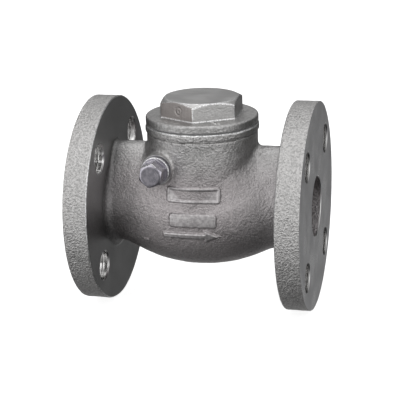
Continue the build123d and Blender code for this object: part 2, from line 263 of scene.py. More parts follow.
def cast_recipe(bench, at):
    """Worn pebbles, with painted shade: darker and warmer low on the belly, darker on the sides towards the
    flanges, in the hollows between pebbles and in the corners behind the flanges; the rims are painted
    lighter.
    """
    look, pebbles, grain, cloud, off_axis = cast_relief(bench, at, 0.00065)
    along, height = part_of(bench, at, "X"), part_of(bench, at, "Z")
    worn = pebbles.spread(0.3, 0.6) * 0.5 + cloud.spread(0.3, 0.7) * 0.25 + grain * 0.25
    inside_rims = off_axis.spread(0.050, 0.060, 1.0, 0.0)
    # Painted shade: darker and warmer low on the belly, below the neck, inside the rims.
    belly = height.spread(0.018, 0.042, 0.42, 0.0) * height.spread(-0.04, -0.02, 0.7, 1.0)
    # Painted shade: darker on the sides of the body towards both flanges.
    painted_side_shade = along.spread(0.095, 0.122, 0.0, 0.3) + along.spread(0.03, 0.055, 0.16, 0.0)
    # Painted shade in the corners where the body meets the backs of the flanges.
    near_flange = along.spread(0.0165, 0.028, 1.0, 0.0) + along.spread(0.1255, 0.137)
    corner = near_flange * off_axis.spread(0.047, 0.056, 1.0, 0.0) * off_axis.spread(0.021, 0.026)
    # Painted shade in the hollows between the pebbles, strongest on the rims.
    painted_pit_shade = pebbles.spread(0.36, 0.56, 0.2, 0.0) * off_axis.spread(0.055, 0.066, 0.4, 1.0)
    look["colour"] = shade(bench, (0.40, 0.395, 0.39), (0.67, 0.66, 0.655), worn)
    for tone, amount in (
        ((0.37, 0.31, 0.328), belly * inside_rims),
        ((0.32, 0.32, 0.322), painted_side_shade * inside_rims),
        # Painted light: the flange rims are painted a little lighter.
        ((0.92, 0.91, 0.9), off_axis.spread(0.060, 0.066, 0.0, 0.12)),
        ((0.2, 0.2, 0.2), painted_pit_shade),
        ((0.13, 0.13, 0.13), corner * 0.75),
    ):
        look["colour"] = shade(bench, look["colour"], tone, amount)
    return look


def smooth_cast_recipe(dark, light, depth):
    """The finer skin of the cap and of the raised marks."""
    def recipe(bench, at):
        look = cast_relief(bench, at, depth)[0]
        look["colour"] = shade(bench, dark, light, noise(bench, at, 500.0, 3.0).spread(0.3, 0.7))
        return look
    return recipe


def inner_cast_recipe(bench, at):
    look = cast_relief(bench, at, 0.00065)[0]
    look["colour"] = shade(bench, (0.30, 0.295, 0.29), (0.46, 0.455, 0.45), noise(bench, at, 60.0, 3.0))
    return look


def worn_edge_highlight_recipe(bench, at):
    """An edge that was rubbed bright and is painted brighter still as a highlight, with specks of the old
    skin left in it.
    """
    specks, tone = noise(bench, at, 800.0).spread(0.32, 0.6), 0.92
    return {
        "colour": shade(bench, (tone * 0.6,) * 3, (tone,) * 3, specks),
        "roughness": specks * -0.15 + 0.45, "height": specks, "depth": 0.0001,
    }


print("recipes for cast steel ready")

# %% [markdown]
# A lathe leaves rings round its axis and a drill leaves them along it. There the noise is given
# only the distance from the axis, or the place along the pipe. A grinder leaves scratches, which
# are a noise that is stretched one way.

# %% Turned, drilled and ground finishes
def turned_recipe(centre, axis, rings=2600.0, tone=0.60, blue=1.01, rough=0.30):
    def recipe(bench, at):
        out = radius_from(bench, at, centre, axis)
        wobble = noise(bench, at, 40.0, 1.0)
        ringed = noise(bench, only_x(bench, out * rings + wobble * 0.4), 1.0)
        cloud = noise(bench, at, 45.0, 3.0)
        return {
            "colour": shade(bench, (tone * 0.88,) * 3, (tone, tone, tone * blue), ringed * 0.5 + cloud * 0.5),
            "roughness": cloud.spread(0.3, 0.7, rough - 0.04, rough + 0.05) + (ringed - 0.5) * 0.1,
            "height": ringed, "depth": 0.00003,
        }
    return recipe


def bored_recipe(bench, at):
    """Bores along the pipe, bright and dark in turn where the drill left its rings."""
    look = turned_recipe(pipe_axis, "Y", rings=10.0, rough=0.2)(bench, at)
    drilled = noise(bench, only_x(bench, part_of(bench, at, "X") * 900.0), 1.0)
    look["colour"] = shade(bench, (0.36, 0.355, 0.35), (0.90, 0.895, 0.89), drilled.spread(0.36, 0.62))
    look["height"], look["depth"] = drilled, 0.0003
    return look


def ground_recipe(bench, at):
    scratch = noise(bench, stretched(bench, at, (60.0, 900.0, 900.0)), 1.0, 3.0)
    pits = noise(bench, at, 900.0)
    cloud = noise(bench, at, 70.0, 4.0)
    marked = scratch.spread(0.3, 0.7) * 0.45 + cloud.spread(0.3, 0.7) * 0.35 + pits * 0.2
    # Painted light: the flat top of the hexagon is painted lighter than its flats.
    top = part_of(bench, at, "Z").spread(0.0718, 0.0724, 0.0, 0.5)
    sides = shade(bench, (0.38, 0.375, 0.37), (0.60, 0.595, 0.59), marked)
    return {
        "colour": shade(bench, sides, (0.76, 0.757, 0.755), top),
        "roughness": cloud.spread(0.3, 0.7, 0.38, 0.48) + (scratch - 0.5) * 0.12,
        "height": scratch * 0.5 + pits * 0.5, "depth": 0.00030,
    }


def plug_recipe(bench, at):
    look = turned_recipe(pin_axis, "Y", 2200.0, rough=0.26)(bench, at)
    blotches = noise(bench, at, 330.0, 3.0).spread(0.35, 0.65)
    look["colour"] = shade(bench, (0.33, 0.32, 0.36), (0.48, 0.46, 0.51), blotches)
    return look


def tinted_recipe(bench, at):
    """The one flat of the hexagon that was left brushed and a little browner."""
    look = ground_recipe(bench, at)
    brushed = noise(bench, stretched(bench, at, (1400.0, 1400.0, 90.0)), 1.0)
    look["colour"] = shade(bench, (0.30, 0.275, 0.265), (0.46, 0.43, 0.42), brushed)
    return look


def gasket_recipe(bench, at):
    fibre = noise(bench, at, 1400.0, 3.0)
    return {
        "colour": shade(bench, (0.07, 0.07, 0.072), (0.16, 0.16, 0.16), fibre),
        "roughness": fibre.spread(0.3, 0.7, 0.7, 0.9), "metallic": 0.0, "height": fibre, "depth": 0.00005,
    }


print("recipes for machined steel and gasket ready")

# %% Materials
pipe_axis = (0.0, 0.0, 0.0)
neck_axis, pin_axis = ([part * 0.001 for part in place] for place in (neck_foot, pin_middle))
cast_steel = finish("cast_stainless", cast_recipe)
inner_cast = finish("inner_cast_stainless", inner_cast_recipe)
faced_steel = finish("faced_stainless", turned_recipe(pipe_axis, "X", 2600.0, 0.78, 1.03))
back_steel = finish("flange_back_stainless", turned_recipe(pipe_axis, "X", 500.0, 0.40, 1.0, 0.38))
bored_steel = finish("bored_stainless", bored_recipe)
mouth_steel = finish("mouth_stainless", turned_recipe(neck_axis, "Z"))
boss_steel = finish("boss_stainless", turned_recipe(pin_axis, "Y", 2200.0))
plug_steel = finish("plug_stainless", plug_recipe)
worn_edge_highlight_steel = finish("burnished_edge_painted_highlight", worn_edge_highlight_recipe)
cap_steel = finish("cap_stainless", ground_recipe)
tinted_steel = finish("tinted_stainless", tinted_recipe)
cap_cast = finish("cap_cast_stainless", smooth_cast_recipe((0.42, 0.415, 0.41), (0.60, 0.595, 0.59), 0.00032))
mark_recipe = smooth_cast_recipe((0.42, 0.40, 0.405), (0.65, 0.63, 0.632), 0.00022)
mark_cast = finish("raised_mark_stainless", mark_recipe)
stud_steel = finish("stud_stainless", turned_recipe(pipe_axis, "X", 2200.0))
gasket_sheet = finish("gasket", gasket_recipe)
print("finishes:", len(bpy.data.materials))

# %% [markdown]
# ## Shapes as distance formulas
# A casting has no sharp inner corners: where two forms meet, the metal flows from one into the
# other. A distance formula says how far a point is from a surface, less than zero inside, and two
# formulas can be joined with a round root between them. `join` does that for a root, and `trim`
# for a rounded outer edge, each with its radius.

# %% Join and trim
def join(a, b, radius):
    """Both forms as one, with a root of this radius where they meet."""
    inner = np.hypot(np.maximum(radius - a, 0), np.maximum(radius - b, 0))
    return np.maximum(radius, np.minimum(a, b)) - inner


def trim(a, b, radius):
    """Only what is in both forms, with the edge between them rounded."""
    outer = np.hypot(np.maximum(radius + a, 0), np.maximum(radius + b, 0))
    return np.minimum(-radius, np.maximum(a, b)) + outer


def hexagon(u, v, reach, turn, radius):
    """A six-sided bar with rounded corners: reach is half the width across its flats."""
    facing = [math.radians(turn + step) for step in (0, 60, 120)]
    sides = [np.abs(u * math.cos(angle) + v * math.sin(angle)) - reach for angle in facing]
    return trim(trim(sides[0], sides[1], radius), sides[2], radius)


corner_cut = trim(np.zeros(1), np.zeros(1), 1.0)[0]
print("an edge rounded by 1 mm loses this much at its corner:", round(float(corner_cut), 3))

# %% [markdown]
# ## From formula to mesh
# A lump of simple overlapping blocks is remeshed to even squares, then each point is moved along
# the slope of the formula until it lies on the surface. Between moves the points are evened out.
# Done twice, this gives a clean skin for a shape that no single Blender tool makes. First come the
# helpers that make, join and cut plain meshes.

# %% Helpers for meshes
def mesh_from(name, points, faces):
    """A mesh from points in millimetres, its faces turned outwards."""
    mesh = bpy.data.meshes.new(name)
    mesh.from_pydata((np.asarray(points, float) * 0.001).tolist(), [], [list(f) for f in faces])
    form = bmesh.new()
    form.from_mesh(mesh)
    bmesh.ops.remove_doubles(form, verts=form.verts, dist=1e-7)
    bmesh.ops.recalc_face_normals(form, faces=form.faces)
    form.to_mesh(mesh)
    form.free()
    return mesh


def places(mesh):
    """The mesh's points in millimetres."""
    flat = np.empty(len(mesh.vertices) * 3)
    mesh.vertices.foreach_get("co", flat)
    return flat.reshape(-1, 3) * 1000


def put_places(mesh, points):
    mesh.vertices.foreach_set("co", (np.asarray(points) * 0.001).ravel())
    mesh.update()


def as_object(name, mesh):
    thing = bpy.data.objects.new(name, mesh)
    bpy.context.scene.collection.objects.link(thing)
    return thing


def with_modifiers(name, mesh, *modifiers):
    """A copy of the mesh after these modifiers, each one (type, settings)."""
    thing = as_object(name, mesh)
    for kind, settings in modifiers:
        modifier = thing.modifiers.new(kind.lower(), kind)
        for key, value in settings.items():
            setattr(modifier, key, value)
    bpy.context.view_layer.update()
    result = bpy.data.meshes.new_from_object(thing.evaluated_get(bpy.context.evaluated_depsgraph_get()))
    bpy.data.objects.remove(thing)
    result.name = name
    return result


def combined(name, meshes):
    """Several closed meshes in one, not yet joined to each other."""
    form = bmesh.new()
    for mesh in meshes:
        form.from_mesh(mesh)
    whole = bpy.data.meshes.new(name)
    form.to_mesh(whole)
    form.free()
    return whole


def solid(name, first, second, operation):
    """Two closed meshes united, or the second cut out of the first."""
    tool = as_object(name + "_tool", second)
    result = with_modifiers(
        name, first, ("BOOLEAN", {"solver": "MANIFOLD", "operation": operation, "object": tool})
    )
    bpy.data.objects.remove(tool)
    return result


print("mesh helpers ready")

# %% [markdown]
# Most blocks and cutters are turned, as on a lathe: an outline of radii and places along an axis
# becomes rings of points, and the rings are joined by a skin.

# %% Tubes and turned blocks
def tube(name, sections):
    """A closed skin through rings of points, which all have the same number of points."""
    count = len(sections[0])
    points = np.concatenate(sections)
    faces = [list(range(count))[::-1], [(len(sections) - 1) * count + i for i in range(count)]]
    for ring in range(len(sections) - 1):
        for i in range(count):
            a, b = ring * count + i, ring * count + (i + 1) % count
            faces.append([a, b, b + count, a + count])
    return mesh_from(name, points, faces)


def turned(name, profile, centre, axis, count):
    """A solid of revolution: profile is a list of (radius, distance along the axis)."""
    along = Vector(axis)
    across = along.orthogonal().normalized()
    other = along.cross(across)
    angles = np.linspace(0, 2 * math.pi, count, endpoint=False)
    ring = np.outer(np.cos(angles), across) + np.outer(np.sin(angles), other)
    centre, along = np.array(centre), np.array(along)
    return tube(name, [centre + ring * radius + along * reach for radius, reach in profile])


print("turned blocks ready")

# %% Sculpting onto a formula
def slope_of(formula, points, step=0.02):
    """Which way, and how fast, a formula rises at each point."""
    rise = np.empty_like(points)
    for axis in range(3):
        shift = np.zeros(3)
        shift[axis] = step
        rise[:, axis] = (formula(points + shift) - formula(points - shift)) / (2 * step)
    return rise


def settle(mesh, formula, rounds):
    """Moves the mesh's points onto the surface, and evens them out between moves."""
    points = places(mesh)
    ends = np.empty(len(mesh.edges) * 2, int)
    mesh.edges.foreach_get("vertices", ends)
    a, b = ends.reshape(-1, 2).T
    links = np.bincount(np.concatenate((a, b)), minlength=len(points))[:, None]
    for turn in range(rounds):
        if turn < rounds - 1:
            total = np.zeros_like(points)
            np.add.at(total, a, points[b])
            np.add.at(total, b, points[a])
            points += 0.5 * (total / links - points)
        for _ in range(2):
            rise = slope_of(formula, points)
            move = formula(points)[:, None] * rise / np.maximum((rise**2).sum(1), 0.05)[:, None]
            points -= np.clip(move, -2.0, 2.0)
    put_places(mesh, points)


def sculpt(name, blocks, formula, voxel):
    """A clean skin of a formula, started from a lump of blocks."""
    lump = combined(name, blocks)
    for _ in range(2):
        lump = with_modifiers(name, lump, ("REMESH", {"mode": "VOXEL", "voxel_size": voxel * 0.001}))
        settle(lump, formula, 4)
    left = np.abs(formula(places(lump)))
    print(f"{name}: {len(lump.polygons)} squares, largest error {left.max():.3f} mm")
    return lump


print("sculpting ready")

# %% [markdown]
# ## The casting's skin
# Across the pipe the belly has a round underside and a narrower roof, like a pear. The section
# grows and shrinks along the pipe. The neck is an upright cylinder that grows out of it, two round
# bosses carry the hinge pin, and the ends flow into the flanges. The root between belly and neck
# shrinks to nothing where both walls face the same way, as it does on the real casting's front.

# %% The casting's formula
bosses = ((-1, boss_front_y), (1, boss_back_y))
boss_edge, collar_edge, root_reach, ends_in, belly_only = 0.6, 0.5, 6.5, 9.0, 50.0
crease_tight_z, crease_soft_z, root_tight_z, root_soft_z = 37.0, 21.0, 30.0, 8.0


def pear_form(points):
    """Distance from the belly's section, which changes along the pipe, and how far it faces sideways."""
    x, y, z = points.T
    away = np.minimum(np.abs(x - belly_x), 70.0)
    bulge = belly_depth - (belly_arc_r - np.sqrt(belly_arc_r**2 - away**2))
    depth = 0.5 * (bulge + waist_r + np.sqrt((bulge - waist_r) ** 2 + 2.0**2)) - 0.05
    low_r = waist_r + (belly_r - waist_r) * (depth - waist_r) / (belly_depth - waist_r)
    low_z = low_r - depth
    rise = roof_centre_z - low_z
    top_r = np.maximum(roof_r, low_r - steepest_side * rise)
    slope = (low_r - top_r) / rise
    across = np.sqrt(1 - slope**2)
    side, height = np.abs(y), z - low_z
    along = -slope * side + across * height
    low, high = along < 0, along > across * rise
    from_low, from_high = np.hypot(side, height), np.hypot(side, height - rise)
    parts = [low, high]
    flank = np.select(parts, [side / from_low, side / np.maximum(from_high, 0.1)], across)
    on_flank = across * side + slope * height - low_r
    return np.select(parts, [from_low - low_r, from_high - top_r], on_flank), flank


def boss(points, side, reach):
    x, y, z = points.T
    proud = boss_edge if side < 0 else 0.0
    return trim(np.hypot(x - pin_x, z - pin_z) - boss_r, side * y - reach - proud, boss_edge)


def skin(points):
    """The whole casting without its flanges' rims and its collar."""
    x, y, z = points.T
    belly, flank = pear_form(points)
    off_axis = np.maximum(np.hypot(x - neck_x, y), 1)
    aligned = np.clip(flank * np.abs(y) / off_axis, 0, 1)
    soft = np.clip((crease_tight_z - z) / (crease_tight_z - crease_soft_z), 0, 1)
    crease = (crease_top_r + (crease_r - crease_top_r) * soft) * (1 - aligned**2)
    body = join(belly, np.maximum(off_axis - neck_r, -z), crease)
    soft = np.clip((root_tight_z - z) / (root_tight_z - root_soft_z), 0, 1)
    root = root_top_r + (flange_root - root_top_r) * soft
    body = join(body, x - flange_thick + 0.02, root)
    body = join(body, face_to_face - flange_thick + 0.02 - x, root)
    for side, reach in bosses:
        body = np.where(side * y > 10, join(body, boss(points, side, reach), boss_root), body)
    return body


def shell(points):
    """The part of the skin between the flanges, which reaches a little way into both."""
    x, y, z = points.T
    body = trim(skin(points), z - collar_z, collar_edge)
    rooted = np.maximum(body, pear_form(points)[0] - root_reach)
    body = np.where(np.abs(x - neck_x) > belly_only, rooted, body)
    return np.maximum(body, np.abs(x - neck_x) - (face_to_face / 2 - ends_in))


probe = np.array([[belly_x, 0, -belly_depth], [neck_x, -neck_r, 45.0]])
print("the skin's error at the belly's lowest point and on the neck:", np.round(skin(probe), 3))

# %% [markdown]
# ## Clay for the casting
# The remesher wants closed blocks that overlap. A skin through pear-shaped rings gives the belly,
# two short wide ones reach into the flanges, and three turned blocks give the neck and the two
# bosses. Only their rough place matters, because the points are moved onto the formula afterwards.

# %% Casting between the flanges
def pear_ring(x, grow):
    """A ring of points round the belly's section at x, found by walking out from the middle."""
    angles = np.linspace(0, 2 * math.pi, 96, endpoint=False)
    reach = np.full(96, 20.0)
    for _ in range(30):
        ring = np.column_stack((np.full(96, x), reach * np.cos(angles), reach * np.sin(angles)))
        reach -= pear_form(ring)[0] - grow
    return ring


blocks = [tube("belly_block", [pear_ring(x, 0.0) for x in np.linspace(ends_in, face_to_face - ends_in, 50)])]
for start, end in ((ends_in, flange_thick), (face_to_face - flange_thick, face_to_face - ends_in)):
    blocks.append(tube("root_block", [pear_ring(x, root_reach) for x in (start, end)]))
blocks.append(turned("neck_block", [(neck_r, -20), (neck_r, collar_z)], neck_foot, upwards, 128))
for side, reach in bosses:
    profile = [(boss_r, 12 * side), (boss_r, reach * side)]
    blocks.append(turned("boss_block", profile, pin_middle, (0, 1, 0), 64))
casting = sculpt("casting", blocks, shell, voxel=1.05)

# %% [markdown]
# ## Flanges and collar
# Both flanges are discs whose rims were left as cast, so they get close rings of points there and
# only a few on their flat faces. The collar round the neck's mouth has a chamfer that was cut
# through the rough cast edge, so its width wanders as it goes round.

# %% Flanges and collar
rim_r, rim_edge, machining = 69.62, 1.1, 0.9


def flange_profile(face_x, way):
    """Radius and place along the pipe, from just before the sealing face to the flange's back."""
    arc = [math.radians(a) for a in (15, 40, 65, 90)]
    profile = [(r, 0.0) for r in (26, 34, 42, 52, 60, 65, 67.5, rim_r - rim_edge)]
    profile += [(rim_r - rim_edge * (1 - math.sin(a)), rim_edge * (1 - math.cos(a))) for a in arc]
    back_side = [(r, flange_thick - s) for r, s in reversed(profile)]
    profile = [(r, s - machining) for r, s in profile]
    steps = np.linspace(rim_edge - machining, flange_thick - rim_edge, 16)[1:-1]
    return [(r, face_x + way * s) for r, s in profile + [(rim_r, s) for s in steps] + back_side]


flanges = [
    turned("flange", flange_profile(face_x, way), pipe_axis, along_pipe, 440)
    for face_x, way in ((0.0, 1), (face_to_face, -1))
]
collar_profile = [
    (30, 46), (36.2, 46), (36.2, 50.5), (37.5, 50.6), (37.8, 50.85), (collar_r, 51.4), (collar_r, 52.2),
    (collar_r, 53.0), (collar_r, 53.8), (37.8, 54.3), (37.5, 54.7), (37.0, 55.2), (36.4, 55.8), (30, 55.8),
]
collar = turned("collar", collar_profile, neck_foot, upwards, 260)
points = places(collar)
bearing = np.arctan2(points[:, 1], points[:, 0] - neck_x)
wander = 0.35 * np.sin(5 * bearing + 1) + 0.3 * np.sin(11 * bearing) + 0.25 * np.sin(23 * bearing + 2)
points[:, 2] += np.where((points[:, 2] > 53.6) & (points[:, 2] < 55.4), 0.5 * wander - 0.1, 0)
points[:, 2] += np.where((points[:, 2] > 50.55) & (points[:, 2] < 51.5), 0.22 * np.sin(9 * bearing), 0)
put_places(collar, points)
for flange in flanges:
    casting = solid("casting", casting, flange, "UNION")
casting = solid("casting", casting, collar, "UNION")
print("casting with flanges:", len(casting.polygons), "faces")

# %% [markdown]
# ## Pebbled skin
# Steel poured into a shell mould keeps the grain of the mould: small round pebbles over slow
# swells, which show best on the edges of the rims. A Geometry Nodes tree moves every point along
# its normal by two noises, less so on the flanges' flat backs, which look along the pipe. Faces
# that are machined later are cut through this skin, so they stay flat.

# %% Pebbled skin by Geometry Nodes
def node_group(name, sizes):
    """A geometry tree with named inputs, and a bench to build it on."""
    tree = bpy.data.node_groups.new(name, "GeometryNodeTree")
    tree.interface.new_socket("Geometry", in_out="INPUT", socket_type="NodeSocketGeometry")
    for label, kind in sizes.items():
        tree.interface.new_socket(label, in_out="INPUT", socket_type=kind)
    tree.interface.new_socket("Geometry", in_out="OUTPUT", socket_type="NodeSocketGeometry")
    return tree, Bench(tree)


def close_group(bench, shape, material):
    """The end of every geometry tree: real geometry, with its finish."""
    whole = bench.node("GeometryNodeRealizeInstances", {}, {"Geometry": shape})
    finished = bench.node("GeometryNodeSetMaterial", {}, {"Geometry": whole, "Material": material})
    bench.node("NodeGroupOutput", {}, {"Geometry": finished})


def run_group(name, mesh, tree, values):
    """The mesh after a geometry tree, whose inputs are set before anything is evaluated."""
    thing = as_object(name, mesh)
    modifier = thing.modifiers.new(name, "NODES")
    modifier.node_group = tree
    for item in tree.interface.items_tree:
        if item.in_out == "INPUT" and item.name in values:
            modifier[item.identifier] = values[item.name]
    bpy.context.view_layer.update()
    result = bpy.data.meshes.new_from_object(thing.evaluated_get(bpy.context.evaluated_depsgraph_get()))
    bpy.data.objects.remove(thing)
    return result


FLOAT, WHOLE, FINISH = "NodeSocketFloat", "NodeSocketInt", "NodeSocketMaterial"
pebble_sizes = ("Swell", "Pebble", "Swell per metre", "Pebbles per metre")
pebble_inputs = {**{label: FLOAT for label in pebble_sizes}, "Finish": FINISH}
pebble_tree, bench = node_group("pebbled_skin", pebble_inputs)
shape = bench.node("NodeGroupInput")
given = {label: bench.node("NodeGroupInput", output=i + 1) for i, label in enumerate(pebble_inputs)}
where = bench.node("GeometryNodeInputPosition")
swell = noise(bench, where, given["Swell per metre"], 1.0)
pebble = noise(bench, where, given["Pebbles per metre"])
outward = bench.node("GeometryNodeInputNormal")
lengthwise = part_of(bench, outward, "X")
rough_part = lengthwise.math("ABSOLUTE", lengthwise).spread(0.9, 0.98, 1.0, 0.0)
lift = ((swell - 0.5) * given["Swell"] + (pebble - 0.5) * given["Pebble"]) * rough_part
push = bench.node("ShaderNodeVectorMath", {"operation": "SCALE"}, {0: outward, "Scale": lift})
moved = bench.node("GeometryNodeSetPosition", {}, {"Geometry": shape, "Offset": push})
close_group(bench, moved, given["Finish"])
casting = run_group("casting", casting, pebble_tree, {
    "Swell": 0.0006, "Pebble": 0.00034, "Swell per metre": 90.0, "Pebbles per metre": 420.0,
    "Finish": cast_steel,
})
print("pebbled skin on", len(casting.vertices), "points")

# %% [markdown]
# ## Raised marks
# Valves carry marks cast on the front wall. The arrow shows which way the liquid may flow. Above
# it are two blank pads, and the mould left a small fleck beside its tail. Each mark is a closed
# panel whose front follows the wall and rises inside an outline, with the sloped sides that let a
# pattern come out of its mould.

# %% Marks on the front wall
def outline_depth(u, v, corners):
    """How far points are inside an outline, less than zero outside it."""
    nearest, inside = np.full(u.shape, 1e9), np.zeros(u.shape, bool)
    for (au, av), (bu, bv) in zip(corners, corners[1:] + corners[:1]):
        du, dv = bu - au, bv - av
        share = np.clip(((u - au) * du + (v - av) * dv) / (du**2 + dv**2), 0, 1)
        nearest = np.minimum(nearest, np.hypot(u - au - share * du, v - av - share * dv))
        if dv != 0:
            inside ^= ((av > v) != (bv > v)) & (u < du * (v - av) / dv + au)
    return np.where(inside, nearest, -nearest)


def wall_y(x, z):
    """Where the front wall is, by halving the step between outside and inside."""
    out, within = np.full(x.shape, -60.0), np.full(x.shape, -12.0)
    for _ in range(26):
        middle = (out + within) / 2
        free = skin(np.column_stack((x, middle, z))) > 0
        out, within = np.where(free, middle, out), np.where(free, within, middle)
    return out


def raised_mark(name, box, height_at, step=0.4):
    """A closed panel on the front wall, its front raised by height_at(x, z)."""
    xs, zs = np.arange(box[0], box[1], step), np.arange(box[2], box[3], step)
    x, z = (g.ravel() for g in np.meshgrid(xs, zs, indexing="ij"))
    wall, rows, columns = wall_y(x, z), len(xs), len(zs)
    front = np.column_stack((x, wall - height_at(x, z), z))
    rear = np.column_stack((x, wall + 2.5, z))
    faces, count = [], len(front)
    for i in range(rows - 1):
        for j in range(columns - 1):
            a, b = i * columns + j, (i + 1) * columns + j
            faces += [[a, a + 1, b + 1, b], [a + count, b + count, b + count + 1, a + count + 1]]
    edge = [i * columns for i in range(rows)] + [(rows - 1) * columns + j for j in range(1, columns)]
    edge += [i * columns + columns - 1 for i in reversed(range(rows - 1))] + list(range(columns - 2, 0, -1))
    for a, b in zip(edge, edge[1:] + edge[:1]):
        faces.append([a, b, b + count, a + count])
    return mesh_from(name, np.concatenate((front, rear)), faces)


def slope_up(depth, height, width):
    """A rise with sloped sides and soft edges, which starts under the wall's pebbles."""
    share = np.clip((depth + 0.35 * width) / width, 0, 1)
    return (height + 0.7) * share**2 * (3 - 2 * share) - 0.6


def pad_depth(x, z, middle, half, corner):
    """How far points are inside a pad with round corners, less than zero outside it."""
    u = np.abs(x - middle[0]) - half[0] + corner
    v = np.abs(z - middle[1]) - half[1] + corner
    return corner - np.hypot(np.maximum(u, 0), np.maximum(v, 0)) - np.minimum(np.maximum(u, v), 0)


arrow_z, shaft_half, head_half = -12.9, 2.3, 4.8
tail_x, head_x, tip_x = neck_x - 19.8, neck_x + 8.6, neck_x + 19.6
upper_side = [(tail_x, arrow_z + shaft_half), (head_x, arrow_z + shaft_half), (head_x, arrow_z + head_half)]
arrow = upper_side + [(tip_x, arrow_z)] + [(x, 2 * arrow_z - z) for x, z in reversed(upper_side)]
fleck_x, fleck_z = neck_x - 32.4, -18.8


def arrow_height(x, z):
    return slope_up(outline_depth(x, z, arrow), 1.5, 1.9)


def upper_pad_height(x, z):
    depth = pad_depth(x, z, (neck_x + 1.5, 14.6), (18.1, 5.5), 2.2)
    return slope_up(depth, 0.85, 1.1) - np.clip((depth - 1.7) / 0.8, 0, 1) * 0.55


def lower_pad_height(x, z):
    return slope_up(pad_depth(x, z, (neck_x + 1.2, -2.2), (16.0, 4.8), 2.0), 1.05, 1.3)


def fleck_height(x, z):
    return slope_up(pad_depth(x, z, (fleck_x, fleck_z), (2.4, 0.9), 0.8), 0.9, 0.9)


marks = {
    "fleck": ((neck_x - 37, neck_x - 28, -22, -16), fleck_height),
    "flow_arrow": ((neck_x - 21.5, neck_x + 21.3, -19.6, -6.4), arrow_height),
    "upper_pad": ((neck_x - 19, neck_x + 22, 7, 22), upper_pad_height),
    "lower_pad": ((neck_x - 17, neck_x + 19.5, -8.8, 4.4), lower_pad_height),
}
for name, (box, height_at) in marks.items():
    casting = solid("casting", casting, raised_mark(name, box, height_at), "UNION")
print("casting with its marks:", len(casting.polygons), "faces")

# %% [markdown]
# ## Facing and drilling
# After casting, the shop turns both sealing faces, the mouth of the neck and the front boss flat,
# and drills the flanges. The facing cuts are plain discs. The drill is one turned cutter with a
# chamfer at each end, and Geometry Nodes sets four of it round the bolt circle of each flange, on
# both sides of the upright centre line.

# %% Facing cuts and bolt holes
drill_inputs = {"Circle radius": FLOAT, "Holes": WHOLE, "Second flange": FLOAT, "Finish": FINISH}
drill_tree, bench = node_group("bolt_circle", drill_inputs)
cutter, radius, holes, second, drilled = (bench.node("NodeGroupInput", output=i) for i in range(5))
turns = bench.node("GeometryNodeMeshCircle", {"fill_type": "NONE"}, {"Vertices": holes, "Radius": radius})
spun = bench.node("GeometryNodeTransform", {}, {"Geometry": turns, "Rotation": (0, 0, math.radians(45))})
stood = bench.node("GeometryNodeTransform", {}, {"Geometry": spun, "Rotation": (0, math.radians(90), 0)})
drills = bench.node("GeometryNodeInstanceOnPoints", {}, {"Points": stood, "Instance": cutter})
again = bench.node("GeometryNodeTransform", {}, {"Geometry": drills, "Translation": only_x(bench, second)})
both = bench.node("GeometryNodeJoinGeometry")
for part in (drills, again):
    bench.tree.links.new(part.socket, both.socket.node.inputs[0])
close_group(bench, both, drilled)
half_drill = [(bolt_hole_r + 2.5, -2), (bolt_hole_r + bolt_hole_edge, 0), (bolt_hole_r, bolt_hole_edge)]
drill_profile = half_drill + [(r, flange_thick - depth) for r, depth in reversed(half_drill)]
drills = run_group("drills", turned("drill", drill_profile, pipe_axis, along_pipe, 72), drill_tree, {
    "Circle radius": bolt_circle_r * 0.001, "Holes": bolt_count,
    "Second flange": (face_to_face - flange_thick) * 0.001, "Finish": bored_steel,
})
casting = solid("casting", casting, drills, "DIFFERENCE")

facings = (
    ([(80, 0), (80, -5)], pipe_axis, along_pipe),
    ([(80, face_to_face), (80, face_to_face + 5)], pipe_axis, along_pipe),
    ([(50, neck_top_z), (50, neck_top_z + 5)], neck_foot, upwards),
    ([(14, -boss_front_y), (14, -boss_front_y - 3)], pin_middle, (0, 1, 0)),
)
for profile, centre, axis in facings:
    casting = solid("casting", casting, turned("facing", profile, centre, axis, 64), "DIFFERENCE")
print("faced and drilled:", len(casting.polygons), "faces")

# %% [markdown]
# ## The hollow inside
# Through the bores the seat, the chamber and the hinge can be seen. Their exact faces are in the
# construction model already, so the inner faces of its body are copied, their open rims are drawn
# out past the casting and closed, and the result is a core, as the foundry's sand core is. Cutting
# the core out of the casting leaves the chamber.

# %% Core and chamber
core = frame["nodes"]["body"].data.copy()
form = bmesh.new()
form.from_mesh(core)
bmesh.ops.remove_doubles(form, verts=form.verts, dist=2e-6)
middles = np.array([f.calc_center_median() for f in form.faces]) * 1000
x, y, z = middles.T
in_bore = (np.hypot(y, z) < bore_r + 0.65) & ((x < 45) | (x > 115))
in_mouth = (np.hypot(x - neck_x, y) < 29.3) & (z > 40) & (z < neck_top_z - 0.01)
in_pin_hole = (np.hypot(x - pin_x, z - pin_z) < 6.3) & (y > -boss_front_y + 0.01) & (y < 30)
in_chamber = (skin(middles) < -3.0) & (x > 20) & (x < face_to_face - 20) & (z < 50)
on_sealing_face = (x < 0.02) | (x > face_to_face - 0.02)
inner = (in_bore | in_mouth | in_pin_hole | in_chamber) & ~on_sealing_face
bmesh.ops.delete(form, geom=[f for f, kept in zip(form.faces, inner) if not kept], context="FACES")
core_reach = 0.004
rims = [e for e in form.edges if e.is_boundary]
drawn = bmesh.ops.extrude_edge_only(form, edges=rims)["geom"]
for vertex in (v for v in drawn if isinstance(v, bmesh.types.BMVert)):
    px, _, pz = vertex.co * 1000
    if px < 1:
        out_of_casting = (-1, 0, 0)
    elif px > face_to_face - 1:
        out_of_casting = along_pipe
    else:
        out_of_casting = upwards if pz > neck_top_z - 1 else forwards
    vertex.co += core_reach * Vector(out_of_casting)
bmesh.ops.holes_fill(form, edges=[e for e in form.edges if e.is_boundary])
bmesh.ops.recalc_face_normals(form, faces=form.faces)
